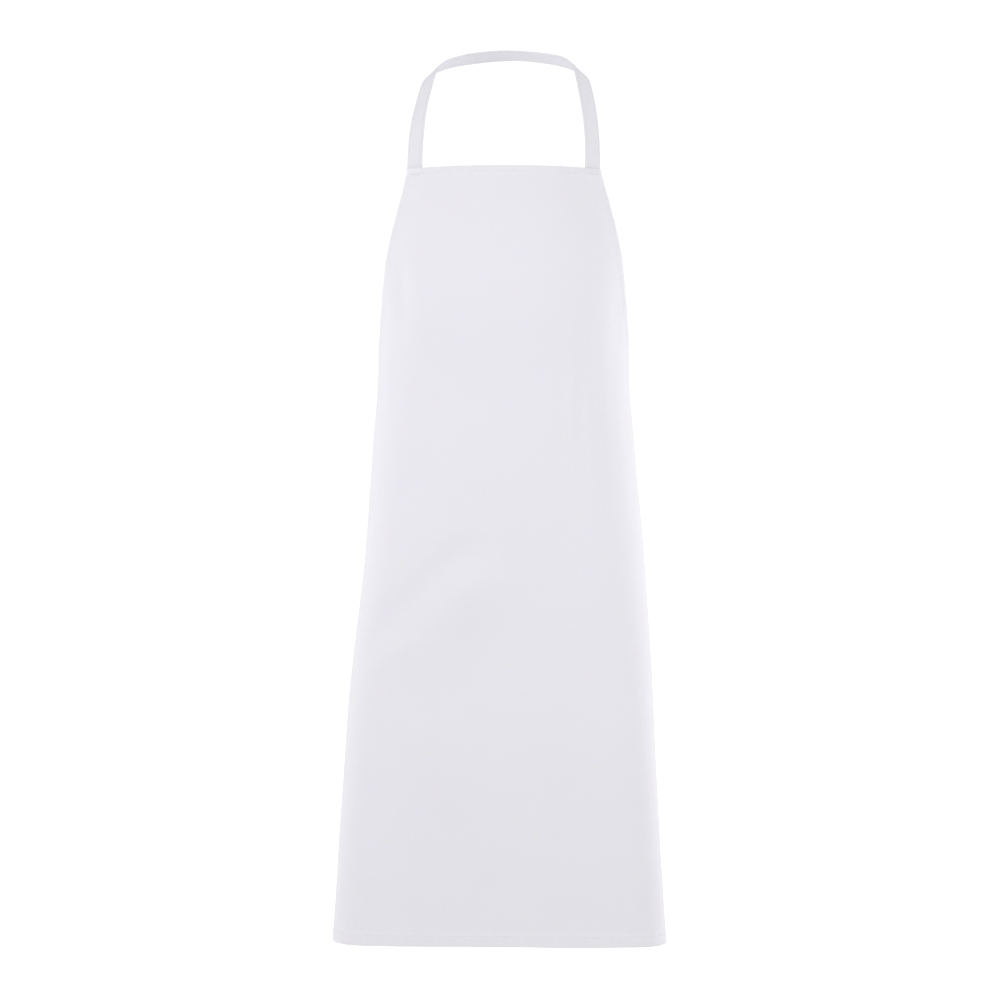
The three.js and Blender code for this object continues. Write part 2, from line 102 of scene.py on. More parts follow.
# neck strap centre line from the wearer's right to left, and the direction of its width
STRAP_PATH = np.array([
    [-110.70, 67.40, 3.40, -0.746, 0.657, -0.106], [-110.60, 69.60, 16.40, -0.736, 0.667, -0.115],
    [-109.30, 75.00, 38.46, -0.761, 0.639, -0.110], [-105.83, 84.67, 70.80, -0.727, 0.670, -0.149],
    [-101.36, 95.32, 91.22, -0.692, 0.683, -0.236], [-97.99, 104.89, 106.37, -0.704, 0.652, -0.283],
    [-92.51, 120.66, 127.59, -0.670, 0.636, -0.382], [-82.78, 141.54, 140.68, -0.535, 0.642, -0.550],
    [-60.80, 168.65, 152.80, -0.507, 0.706, -0.495], [-35.72, 189.15, 160.37, -0.351, 0.804, -0.480],
    [-1.78, 202.02, 165.50, -0.170, 0.888, -0.427], [18.81, 202.41, 166.24, 0.164, 0.912, -0.375],
    [52.99, 190.56, 161.59, 0.395, 0.812, -0.430], [81.74, 164.83, 153.12, 0.526, 0.663, -0.532],
    [97.43, 140.69, 143.39, 0.557, 0.578, -0.596], [106.29, 119.91, 132.56, 0.714, 0.590, -0.377],
    [111.03, 102.89, 110.04, 0.769, 0.594, -0.238], [114.05, 94.35, 93.84, 0.771, 0.622, -0.139],
    [118.04, 84.25, 65.48, 0.767, 0.630, -0.120], [120.42, 75.00, 33.06, 0.754, 0.641, -0.142],
    [120.43, 70.40, 15.72, 0.751, 0.639, -0.169], [120.20, 67.40, 3.40, 0.749, 0.640, -0.170]])


# ------------------------------------------------------------------ mathematics
def smooth(x):
    c = np.clip(x, 0.0, 1.0)
    return c * c * (3 - 2 * c)


def gauss(x):
    return np.exp(-np.square(x))


def unit(v):
    return v / np.maximum(np.linalg.norm(v, axis=-1, keepdims=True), 1e-12)


def cubic(k, x):
    """Column k of STATIONS at x, by a monotone cubic."""
    r, x = STATIONS, np.clip(np.asarray(x, float), STATIONS[0, 0], STATIONS[-1, 0])
    h = np.diff(r[:, 0])
    d = np.diff(r[:, k]) / h
    m = np.zeros(len(r))
    m[0], m[-1] = d[0], d[-1]
    both = d[:-1] * d[1:] > 0
    m[1:-1][both] = 2 * d[:-1][both] * d[1:][both] / (d[:-1] + d[1:])[both]
    i = np.clip(np.searchsorted(r[:, 0], x, side="right") - 1, 0, len(r) - 2)
    u = (x - r[i, 0]) / h[i]
    return ((2 * u**3 - 3 * u**2 + 1) * r[i, k] + (u**3 - 2 * u**2 + u) * m[i] * h[i]
            + (-2 * u**3 + 3 * u**2) * r[i + 1, k] + (u**3 - u**2) * m[i + 1] * h[i])


def blur(values, sigma):
    """Gaussian blur along axis 0 in samples, with the ends held."""
    n = int(4 * sigma) + 1
    k = gauss(np.arange(-n, n + 1) / (sigma * math.sqrt(2)))
    k /= k.sum()
    v = values.reshape(len(values), -1)
    first, last = v[:1], v[-1:]
    pad = np.vstack([2 * first - v[n:0:-1], v, 2 * last - v[-2:-n - 2:-1]])
    out = np.stack([np.convolve(pad[:, c], k, mode="valid") for c in range(v.shape[1])], 1)
    return out.reshape(values.shape)


def catmull(points, per_span=24):
    """Centripetal Catmull-Rom through points, sampled; the same curve as the CAD's."""
    p, out = np.asarray(points, float), []
    for i in range(len(p) - 1):
        p0 = p[i - 1] if i else 2 * p[0] - p[1]
        p3 = p[i + 2] if i + 2 < len(p) else 2 * p[-1] - p[-2]
        p1, p2 = p[i], p[i + 1]
        d = [max(np.linalg.norm(b[:3] - a[:3]), 1e-6) ** 0.5 for a, b in ((p0, p1), (p1, p2), (p2, p3))]
        t1 = ((p1 - p0) / d[0] - (p2 - p0) / (d[0] + d[1]) + (p2 - p1) / d[1]) * d[1]
        t2 = ((p2 - p1) / d[1] - (p3 - p1) / (d[1] + d[2]) + (p3 - p2) / d[2]) * d[1]
        u = np.linspace(0, 1, per_span, endpoint=False)[:, None]
        out.append((2 * u**3 - 3 * u**2 + 1) * p1 + (u**3 - 2 * u**2 + u) * t1
                   + (-2 * u**3 + 3 * u**2) * p2 + (u**3 - u**2) * t2)
    return np.vstack(out + [p[-1:]])


def arc(p):
    return np.concatenate([[0], np.cumsum(np.linalg.norm(np.diff(p[:, :3], axis=0), axis=1))])


def resample(p, step):
    """Rows of p at even steps of arc length, and the lengths."""
    a = arc(p)
    n = max(2, int(round(a[-1] / step)) + 1)
    at = np.linspace(0, a[-1], n)
    return np.stack([np.interp(at, a, p[:, k]) for k in range(p.shape[1])], 1), at


# ------------------------------------------------------------------ the cloth's surface
def folds(s, t):
    """How far the worn cloth stands out of its plain wrapped shape."""
    a = np.abs(s)
    out = np.zeros(np.broadcast(s, t).shape)

    # one soft diagonal fold over the wearer's right hip
    ax, at_, bx, bt = -150.0, 618.0, -28.0, 498.0
    length = math.hypot(bx - ax, bt - at_)
    ux, ut = (bx - ax) / length, (bt - at_) / length
    along = ((s - ax) * ux + (t - at_) * ut) / length
    off = (s - ax) * ut - (t - at_) * ux  # positive above the fold
    reach = smooth((along + 0.25) / 0.45) * smooth((1.14 - along) / 0.36)
    reach = reach * (1 + 0.32 * gauss((along - 0.76) / 0.24))  # deepest near its upper end
    crest, dip = off + 22.0, off - 22.0
    out += reach * 7.0 * gauss(crest / np.where(crest < 0, 46.0, 22.0))
    out -= reach * 5.5 * gauss(dip / np.where(dip > 0, 22.0, 17.0))

    # the dent at the wearer's right armhole, and a fainter one at the left
    out += -4.2 * gauss((s + 146.0 - 0.06 * (t - 150)) / 17.0) * gauss((t - 158.0) / 46.0)
    out += 1.6 * gauss((s + 168.0) / 14.0) * gauss((t - 262.0) / 42.0)
    out += -1.5 * gauss((s - 168.0) / 20.0) * gauss((t - 196.0) / 60.0)

    # shallow upright ripples on the wearer's left, below the bib
    out += 0.62 * np.sin(2 * math.pi * s / 27.0) * gauss((s - 100.0) / 38.0) * gauss((t - 320.0) / 78.0)

    # slow waves down the skirt
    low = smooth((t - 430.0) / 480.0)
    out += low * 2.3 * np.sin(2 * math.pi * (s + 0.05 * (t - 600.0)) / 213.0 + 0.75) * smooth((260.0 - a) / 110.0)

    # flutes in the cloth that hangs behind the sides
    hang = smooth((t - 318.0) / 430.0) * smooth((a - 246.0) / 62.0)
    left = 6.2 * np.sin(2 * math.pi * (a - 250.0 + 0.05 * (t - 700.0)) / 88.0)
    right = 6.8 * np.sin(2 * math.pi * (a - 262.0 - 0.04 * (t - 700.0)) / 94.0 + 0.5)
    out += hang * np.where(s > 0, left, right)

    # tension that spreads from each tie
    ds, dt = HALF - a, t - TIE_LEVEL
    r = np.hypot(ds, dt)
    pull = np.sin(5.0 * np.arctan2(dt, ds + 4.0) + np.where(s > 0, 0.3, 1.0))
    out += 1.7 * pull * np.exp(-r / 95.0) * smooth((r - 12.0) / 40.0)

    # a little slack everywhere
    out += 0.42 * np.sin(s / 61.0 + 1.3) * np.sin(t / 83.0 + 0.4)
    out += 0.26 * np.sin(s / 33.0 - t / 57.0 + 2.1) * np.sin(t / 44.0 + s / 140.0)

    # the strap's sewn ends stand out a little through the bib top
    for side, rise in ((-1, 3.0 * smooth((11.0 - t) / 10.5)), (1, 1.1 * smooth(t / 9.0) * smooth((14.0 - t) / 4.5))):
        x = np.abs(s - side * (139.0 - 13.0))
        out += 0.55 * smooth((15.5 - x) / 4.0) * smooth((33.0 - t) / 6.0)
        out += rise * smooth((14.5 - x) / 4.0)
    return out


T_AXIS, S_AXIS = np.arange(0, 1000.1, 2.0), np.arange(-HALF, HALF + 0.1, 1.0)


def build_surface():
    p, s90, back = cubic(3, T_AXIS), cubic(4, T_AXIS), np.radians(cubic(5, T_AXIS))
    centre, depth = cubic(1, T_AXIS), cubic(6, T_AXIS)
    p, s90, back, centre, depth = (blur(v, 5.0) for v in (p, s90, back, centre, depth))
    q = (math.pi / 2 * p / s90) * ((HALF - s90) / (back - math.pi / 2))
    ds = 0.5
    m = (np.arange(750) + 0.5) * ds
    front = math.pi / 2 * (np.minimum(m[None], s90[:, None]) / s90[:, None]) ** p[:, None]
    v = np.clip((m[None] - s90[:, None]) / (HALF - s90[:, None]), 0, 1)
    phi = np.where(m[None] <= s90[:, None], front,
                   math.pi / 2 + (back[:, None] - math.pi / 2) * (1 - (1 - v) ** q[:, None]))
    zero = np.zeros((len(T_AXIS), 1))
    x = np.hstack([zero, np.cumsum(np.cos(phi) * ds, 1)])[:, ::2]
    y = np.hstack([zero, np.cumsum(np.sin(phi) * ds, 1)])[:, ::2]
    x = np.hstack([-x[:, :0:-1], x]) + centre[:, None]
    y = np.hstack([y[:, :0:-1], y]) + depth[:, None]
    rise = EDGE_RISE * smooth((T_AXIS[:, None] - ARM_END) / (LENGTH - ARM_END)) * smooth(
        (np.abs(S_AXIS[None]) - 150) / (HALF - 150))
    drop = smooth((T_AXIS[:, None] - 480) / 480) * (
        2.0 * smooth(S_AXIS[None] / 120) + 3.2 * smooth((S_AXIS[None] - 150) / 70) + 2.2 * smooth((-S_AXIS[None] - 150) / 70))
    plain = np.stack([x, y, -T_AXIS[:, None] + rise - drop], 2)
    worn = plain + normals(plain) * folds(S_AXIS[None], T_AXIS[:, None])[..., None]
    return worn, normals(worn)


def normals(g):
    return unit(np.cross(np.gradient(g, axis=0), np.gradient(g, axis=1)))


SURFACE, SURFACE_N = build_surface()


def lookup(table, s, t):
    s, t = np.broadcast_arrays(np.asarray(s, float), np.asarray(t, float))
    j = np.clip((s + HALF) / 1.0, 0, len(S_AXIS) - 1.000001)
    i = np.clip(t / 2.0, 0, len(T_AXIS) - 1.000001)
    i0, j0 = i.astype(int), j.astype(int)
    fi, fj = (i - i0)[..., None], (j - j0)[..., None]
    return ((table[i0, j0] * (1 - fj) + table[i0, j0 + 1] * fj) * (1 - fi)
            + (table[i0 + 1, j0] * (1 - fj) + table[i0 + 1, j0 + 1] * fj) * fi)


def on_panel(s, t):
    return lookup(SURFACE, s, t), unit(lookup(SURFACE_N, s, t))


# ------------------------------------------------------------------ the cut cloth as a grid
D_EDGE = np.array([0, .35, .9, 1.8, 3.2, 4.8, 5.7, 6.2, 6.6, 7.0, 7.6, 8.3, 9.0, 9.5, 10.6, 12.6, 15.8, 20.0])
ROWS_TOP = np.array([0, .35, .9, 1.8, 3.4, 5.2, 6.6, 7.2, 7.6, 8.0, 8.8, 9.4, 10, 10.5, 11.6, 13.6, 16.6, 20.0])
ROWS_BOTTOM = np.array([983, 984.4, 985, 985.7, 986.6, 987.1, 987.4, 987.8, 988.8, 991, 994, 996.8, 998.3, 999.1, 999.65, 1000])
INSIDE = 176

_t = np.linspace(0, ARM_END, 1185)
_edge = np.stack([cubic(2, _t), _t, np.zeros_like(_t)], 1)
_edge, EDGE_A = resample(_edge, 0.5)
_edge = blur(_edge, 10.0)
_edge[0], _edge[-1] = (139, 0, 0), (HALF, ARM_END, 0)
EDGE_A = arc(_edge)
_d = unit(np.gradient(_edge[:, :2], axis=0))
EDGE_N = np.stack([_d[:, 1], -_d[:, 0]], 1)  # out of the cloth, in the flat


def edge_at(a):
    e = np.stack([np.interp(a, EDGE_A, _edge[:, k]) for k in (0, 1)], 1)
    n = unit(np.stack([np.interp(a, EDGE_A, EDGE_N[:, k]) for k in (0, 1)], 1))
    return e, n


ARM_LENGTH = EDGE_A[-1]
_arm = np.arange(float(np.interp(20.0, _edge[:, 1], EDGE_A)) + 2.6, ARM_LENGTH - 1.5, 2.8)
ARM_ROWS = np.concatenate([np.interp(ROWS_TOP, _edge[:, 1], EDGE_A), _arm, [ARM_LENGTH]])
SIDE_ROWS = np.concatenate([np.arange(ARM_END + 3.4, 981, 3.8), ROWS_BOTTOM])
ROW_ARC = np.concatenate([ARM_ROWS, ARM_LENGTH + SIDE_ROWS - ARM_END])
N_TOP, N_ARM = len(ROWS_TOP), len(ARM_ROWS)


def edge_column(d):
    """The line that lies d inside the cloth's side edge: s and t at every row."""
    e, n = edge_at(EDGE_A)
    o = e - d * n
    over = np.nonzero(o[:, 0] > HALF - d)[0]
    end = EDGE_A[over[0]] if len(over) else ARM_LENGTH
    a = ARM_ROWS - (ARM_LENGTH - end) * smooth((ARM_ROWS - (ARM_LENGTH - 110)) / 110)
    e, n = edge_at(a)
    o = e - d * n
    e0, n0 = edge_at(ARM_ROWS)
    flat_s = e0[:, 0] - d / np.maximum(n0[:, 0], 0.35)
    g = smooth((e0[:, 1] - 20.0) / 45.0)
    s, t = flat_s * (1 - g) + o[:, 0] * g, e0[:, 1] * (1 - g) + o[:, 1] * g
    s[-1] = HALF - d
    extra = t[-1] - ARM_END
    t2 = SIDE_ROWS + extra * (1 - smooth((SIDE_ROWS - ARM_END) / 80.0))
    return np.concatenate([s, np.full(len(SIDE_ROWS), HALF - d)]), np.concatenate([t, t2])


_cols = [edge_column(d) for d in D_EDGE]
_s = np.stack([c[0] for c in _cols], 1)
_t = np.stack([c[1] for c in _cols], 1)
_f = np.linspace(-1, 1, INSIDE)[None, 1:-1]
GRID_S = np.hstack([-_s, _s[:, -1:] * _f, _s[:, ::-1]])
GRID_T = np.hstack([_t, np.repeat(_t[:, -1:], INSIDE - 2, 1), _t[:, ::-1]])
_deep = np.full((len(_s), INSIDE - 2), 60.0)
GRID_D = np.hstack([np.repeat(D_EDGE[None], len(_s), 0), np.maximum(20.0, np.minimum(
    _deep, _s[:, -1:] * (1 - np.abs(_f)) + 20.0)), np.repeat(D_EDGE[None, ::-1], len(_s), 0)])
ND = len(D_EDGE)


def turned(x, depth, stitch, groove=0.36):
    """Relief of a turned hem: x is the distance from the edge."""
    return 0.5 * (1 - smooth((x - depth + 1.0) / 4.5)) - groove * gauss((x - stitch) / 0.85)


def pucker(x, stitch, along, phase):
    wave = np.sin(2 * math.pi * along / 14.5 + 1.6 * np.sin(along / 41.0) + phase)
    slow = np.sin(2 * math.pi * along / 37.0 + 1.1 * np.sin(along / 90.0) + 2 * phase)
    return 0.20 * gauss((x - stitch) / 6.0) * wave + 0.26 * gauss((x - stitch) / 13.0) * slow


def relief(s, t, d, along):
    """Offset of the cloth's middle from the worn surface, near its hems."""
    up, down = t, LENGTH - t
    side = np.where(s > 0, 0.0, 1.9)
    tack = smooth((11.5 - np.abs(np.abs(s) - 126.0)) / 3.0) * gauss((up - TOP_HEM + .95) / 1.7)
    return (np.maximum.reduce([turned(d, SIDE_HEM, SIDE_STITCH), turned(up, TOP_HEM, TOP_STITCH),
                               turned(down, BOTTOM_HEM, BOTTOM_STITCH, 0.15)])
            + pucker(d, SIDE_STITCH, along, side) + pucker(up, TOP_STITCH, s, 0.6)
            + pucker(down, BOTTOM_STITCH, s, 2.4) + 0.34 * tack)


ALONG = np.repeat(ROW_ARC[:, None], GRID_S.shape[1], 1)
RELIEF = relief(GRID_S, GRID_T, GRID_D, ALONG)
P, N = on_panel(GRID_S, GRID_T)
P = P + N * RELIEF[..., None]


# ------------------------------------------------------------------ meshes
def make(name, verts, faces, uv=None, smooth_shade=True):
    """A mesh object of these world-space points, its closed body facing out."""
    verts, faces = np.asarray(verts, float), [tuple(f) for f in faces]
    tri = np.array([(f[0], f[i], f[i + 1]) for f in faces for i in range(1, len(f) - 1)])
    a, b, c = (verts[tri[:, k]] - verts.mean(0) for k in range(3))
    if np.einsum("ij,ij->i", a, np.cross(b, c)).sum() < 0:
        faces = [f[::-1] for f in faces]
    me = bpy.data.meshes.new(name)
    me.from_pydata(verts.tolist(), [], faces)
    if uv is not None:
        layer = me.uv_layers.new(name="flat")
        index = np.zeros(len(me.loops), int)
        me.loops.foreach_get("vertex_index", index)
        layer.data.foreach_set("uv", np.asarray(uv, np.float32)[index].ravel())
    me.polygons.foreach_set("use_smooth", [smooth_shade] * len(me.polygons))
    me.update()
    o = bpy.data.objects.new(name, me)
    bpy.context.scene.collection.objects.link(o)
    return o


def slab_faces(r, c):
    i = np.arange(r * c).reshape(r, c)
    a, b, d, e = i[:-1, :-1], i[1:, :-1], i[1:, 1:], i[:-1, 1:]
    top = np.stack([a, b, d, e], -1).reshape(-1, 4)
    low = top[:, ::-1] + r * c
    m = r * c
    rim = []
    for line in (i[0, ::-1], i[-1], i[:, 0], i[::-1, -1]):
        rim += [(q, p, p + m, q + m) for p, q in zip(line[:-1], line[1:])]  # turning the same way as the two faces
    return np.vstack([top, low]).tolist() + rim


def slab(name, outer, inner, uv=None):
    """A closed sheet between two grids of points."""
    r, c = outer.shape[:2]
    faces = slab_faces(r, c)
    verts = world(np.vstack([outer.reshape(-1, 3), inner.reshape(-1, 3)]))
    uvs = None if uv is None else np.vstack([uv.reshape(-1, 2)] * 2) / 1000.0
    return make(name, verts, faces, uvs)


def rounding(x, r):
    """0.12 at the edge, 1 from r inwards, as a round edge."""
    return np.sqrt(np.clip(1 - np.square(1 - np.clip(x / r, 0, 1)), 0.015, 1))


def flat_uv(s, t):
    return np.stack([s, t], -1)


rim = np.minimum.reduce([GRID_D, GRID_T, LENGTH - GRID_T])
turn_over = (1 - rounding(rim, 0.95)) * 0.5
panel = slab("apron_panel_cloth", P + N * (CLOTH / 2 - turn_over)[..., None], P - N * (CLOTH / 2),
             flat_uv(GRID_S, GRID_T))


def band(name, rows, cols, lo, hi):
    """A hem: the cloth's edge turned twice, lying on the body side of the panel."""
    g = np.ix_(rows, cols)
    p, n, s, t, d = P[g], N[g], GRID_S[g], GRID_T[g], GRID_D[g]
    e = np.minimum(lo(s, t, d), hi(s, t, d))
    th = HEM * rounding(e, 0.9)
    near = CLOTH / 2 + 0.02
    mid = near + HEM / 2
    outer = p - n * (mid - th / 2)[..., None]
    inner = p - n * (mid + th / 2)[..., None]
    return slab(name, outer, inner, flat_uv(s, t))


R, C = GRID_S.shape
row_top_end = N_TOP - 6  # the row at t 10
assert abs(ROWS_TOP[row_top_end] - 10) < 1e-6
row_bottom = R - len(ROWS_BOTTOM) + 2  # the row at t 985
assert abs(ROW_ARC[row_bottom] - (ARM_LENGTH + 985 - ARM_END)) < 1e-6
hem_cols = int(np.searchsorted(D_EDGE, 9.0)) + 1
all_cols, far = np.arange(C), lambda s, t, d: np.full(np.shape(s), 9.0)
hems = {
    "bib_top_hem": band("bib_top_hem_cloth", np.arange(0, row_top_end + 1), all_cols,
                        lambda s, t, d: np.minimum(t, 10 - t), lambda s, t, d: d),
    "bottom_hem": band("bottom_hem_cloth", np.arange(row_bottom, R), all_cols,
                       lambda s, t, d: np.minimum(t - 985, 1000 - t), lambda s, t, d: d),
}
for name, cols in (("right", np.arange(0, hem_cols)), ("left", np.arange(C - hem_cols, C))):
    edges = lambda s, t, d: np.minimum(d, 9.0 - d)
    hems["armhole_hem_" + name] = band("armhole_hem_%s_cloth" % name, np.arange(row_top_end, N_ARM), cols, edges, far)
    hems["side_hem_" + name] = band("side_hem_%s_cloth" % name, np.arange(N_ARM - 1, row_bottom + 1), cols, edges, far)


# ------------------------------------------------------------------ stitches
RINGS = np.array([-.5, -.40, -.2, .2, .40, .5])
RADII = np.array([.22, .72, 1, 1, .72, .22])
SINK = np.array([-.26, -.04, .05, .05, -.04, -.26])


def stitch_bodies(centre, along, out, length, width, height, sink=0.0):
    """One closed bead of thread for each centre; the directions are per stitch."""
    across = unit(np.cross(along, out))
    k, m = len(centre), 6
    ang = np.arange(m) * 2 * math.pi / m
    base = (centre[:, None, None] + along[:, None, None] * (RINGS * length)[None, :, None, None]
            + out[:, None, None] * (SINK * height + sink)[None, :, None, None])
    ring = (across[:, None, None] * (np.cos(ang) * width / 2)[None, None, :, None]
            + out[:, None, None] * (np.sin(ang) * height / 2)[None, None, :, None]) * RADII[None, :, None, None]
    v = (base + ring).reshape(-1, 3)
    r = len(RINGS)
    one = [(j * m + i, j * m + (i + 1) % m, (j + 1) * m + (i + 1) % m, (j + 1) * m + i)
           for j in range(r - 1) for i in range(m)]
    one += [tuple(range(m))[::-1], tuple((r - 1) * m + i for i in range(m))]
    f = [tuple(i + q * r * m for i in face) for q in range(k) for face in one]
    return v, f


def stitch_row(line, out, pitch=2.9, length=2.35, width=.46, height=.34, sink=0.0, start=2.0):
    a = arc(line)
    at = np.arange(start, a[-1] - start + 1e-6, pitch)
    c = np.stack([np.interp(at, a, line[:, k]) for k in range(3)], 1)
    ahead = np.stack([np.interp(at + .6, a, line[:, k]) for k in range(3)], 1)
    behind = np.stack([np.interp(at - .6, a, line[:, k]) for k in range(3)], 1)
    n = unit(np.stack([np.interp(at, a, out[:, k]) for k in range(3)], 1))
    along = unit(ahead - behind)
    n = unit(n - along * np.einsum("ij,ij->i", n, along)[:, None])
    slant = unit(along + 0.07 * np.cross(along, n))
    return stitch_bodies(c, slant, n, length, width, height, sink)


def join(parts):
    v, f, base = [], [], 0
    for pv, pf in parts:
        v.append(pv)
        f += [tuple(i + base for i in face) for face in pf]
        base += len(pv)
    return np.vstack(v), f


def sewn(name, lines, **how):
    """Rows of stitches; each line is points, outward normals and the offsets to its two faces."""
    parts = []
    for line, out, faces in lines:
        for off in faces:
            parts.append(stitch_row(line + out * off, out * np.sign(off), **how))
    v, f = join(parts)
    return make(name, world(v), f)


def panel_line(rows, cols):
    g = (rows, cols)
    return P[g], N[g]


FRONT, BEHIND = CLOTH / 2 + 0.04, -(CLOTH / 2 + HEM + 0.02 + 0.02)
col_st = int(np.argmin(np.abs(D_EDGE - SIDE_STITCH)))
row_st_top = int(np.argmin(np.abs(ROWS_TOP - TOP_STITCH)))
row_st_bottom = R - len(ROWS_BOTTOM) + int(np.argmin(np.abs(ROWS_BOTTOM - 987.4)))
stitches = {}
for name, col in (("right", col_st), ("left", C - 1 - col_st)):
    a = panel_line(slice(row_st_top, N_ARM), col)
    b = panel_line(slice(N_ARM - 1, row_st_bottom + 1), col)
    stitches["armhole_stitching_" + name] = sewn("armhole_stitches_" + name, [(a[0], a[1], (FRONT, BEHIND))])
    stitches["side_stitching_" + name] = sewn("side_stitches_" + name, [(b[0], b[1], (FRONT, BEHIND))])
inner_cols = slice(col_st, C - col_st)
a, b = panel_line(row_st_top, inner_cols), panel_line(row_st_bottom, inner_cols)
stitches["bib_top_stitching"] = sewn("bib_top_stitches", [(a[0], a[1], (FRONT, BEHIND))])
stitches["bottom_stitching"] = sewn("bottom_stitches", [(b[0], b[1], (FRONT, BEHIND))])


def bar_tack(name, s0, s1, t0, t1, upright):
    """A bar of close stitches across the run of the seam."""
    n = 46
    f = np.linspace(0, 1, n)
    if upright:
        t, s = t0 + (t1 - t0) * f, np.full(n, (s0 + s1) / 2)
        e = np.array([1.0, 0.0])
        size = abs(s1 - s0)
    else:
        s, t = s0 + (s1 - s0) * f, np.full(n, (t0 + t1) / 2)
        e = np.array([0.0, 1.0])
        size = abs(t1 - t0)
    p, out = on_panel(s, t)
    q, _ = on_panel(s + e[0], t + e[1])
    run = unit(q - p)
    d = np.minimum(HALF - np.abs(s), 60) if upright else 142.0 - np.abs(s)
    off = relief(s, t, d, np.zeros(n))
    zig = unit(run + 0.10 * np.cross(run, out) * np.where(np.arange(n) % 2, 1, -1)[:, None])
    parts = []
    for face in (CLOTH / 2 + 0.14, -(CLOTH / 2 + HEM + 2.0)):
        parts.append(stitch_bodies(p + out * (off + face)[:, None], zig, out * np.sign(face), size + .7, .74, .44))
    v, faces = join(parts)
    return make(name, world(v), faces)


tacks = {}
for side, name in ((1, "left"), (-1, "right")):
    m = side * (139.0 - 13.0)
    tacks["neck_bartack_" + name] = bar_tack("neck_bar_tack_" + name, m - 9.0, m + 9.0, TOP_HEM - 1.7, TOP_HEM - .2, False)
    e = side * (HALF - 14.2)
    tacks["waist_bartack_" + name] = bar_tack("waist_bar_tack_" + name, e - .8, e + .8, TIE_LEVEL - 10, TIE_LEVEL + 10, True)


# ------------------------------------------------------------------ straps and ties
ACROSS = np.concatenate([[-1, -.992, -.972, -.93, -.88, -.83, -.77, -.71, -.6], np.linspace(-.45, .45, 7),
                         [.6, .71, .77, .83, .88, .93, .972, .992, 1]])


def ribbon(name, p, across, out, w, th, cup=None, groove=3.0):
    """A folded strap along p with rounded edges and a groove under each row of stitches."""
    r = len(p)
    w, th = np.broadcast_to(w, (r,)).astype(float), np.broadcast_to(th, (r,)).astype(float)
    a = np.repeat(ACROSS[None], r, 0)
    x = (1 - np.abs(a)) * w[:, None] / 2
    length = arc(p)
    end = np.minimum(length, length[-1] - length)
    e = rounding(x, 0.8) * rounding(end, 0.8)[:, None] * (1 - 0.42 * gauss((x - groove) / 1.0))
    bow = np.zeros_like(a) if cup is None else cup(a, length)
    mid = p[:, None] + across[:, None] * (a * w[:, None] / 2)[..., None] + out[:, None] * bow[..., None]
    half = out[:, None] * (e * th[:, None] / 2)[..., None]
    uv = np.stack([a * w[:, None] / 2, np.repeat(length[:, None], a.shape[1], 1)], -1)
    return slab(name, mid + half, mid - half, uv)


def ribbon_rows(name, p, across, out, w, th, cup=None, inset=3.0, faces=(1, -1), start=2.0):
    lines = []
    length = arc(p)
    w, th = np.broadcast_to(w, (len(p),)).astype(float), np.broadcast_to(th, (len(p),)).astype(float)
    for side in (-1, 1):
        a = side * (1 - 2 * inset / w)
        bow = 0.0 if cup is None else np.array([cup(np.array([[ai]]), np.array([li]))[0, 0] for ai, li in zip(a, length)])
        base = p + across * (a * w / 2)[:, None] + out * np.broadcast_to(bow, (len(p),))[:, None]
        for f in faces:
            lines.append(stitch_row(base + out * (f * th * .37)[:, None], out * f, start=start))
    v, fc = join(lines)
    return make(name, world(v), fc)


def strap_ends(side):
    t = np.array([30.0, 24, 18, 12, 6, 0.8])
    s = np.full(len(t), side * (139.0 - STRAP_W / 2))
    p, n = on_panel(s, t)
    q, _ = on_panel(s + side, t)
    return np.hstack([p - n * 2.75, unit(q - p)])


_ctrl = np.vstack([strap_ends(-1), STRAP_PATH, strap_ends(1)[::-1]])
_dense = catmull(_ctrl, 30)
_dense, _ = resample(_dense, 1.0)
_dense = blur(_dense, 11.0)
strap_p, _ = resample(_dense, 2.5)
strap_p, strap_a = strap_p[:, :3], unit(strap_p[:, 3:])
strap_t = unit(np.gradient(strap_p, axis=0))
strap_a = unit(strap_a - strap_t * np.einsum("ij,ij->i", strap_a, strap_t)[:, None])
strap_n = unit(np.cross(strap_t, strap_a))


def strap_cup(a, length):
    return 0.35 * (1 - np.square(a)) + 0.16 * np.sin(length / 23.0)[:, None] * a


neck = ribbon("neck_strap_cloth", strap_p, strap_a, strap_n, STRAP_W, STRAP_T, strap_cup)
clear = slice(14, -14)  # above the bib top
strap_rows = {}
for name, side in (("outer", 1), ("inner", -1)):
    a = side * (1 - 6.0 / STRAP_W)
    p, n = strap_p[clear], strap_n[clear]
    bow = strap_cup(np.full((len(p), 1), a), arc(strap_p)[clear])[:, 0]
    base = p + strap_a[clear] * a * STRAP_W / 2 + n * bow[:, None]
    v, f = join([stitch_row(base + n * (k * STRAP_T * .37), n * k) for k in (1, -1)])
    strap_rows[name] = make("neck_strap_stitches_" + name, world(v), f)

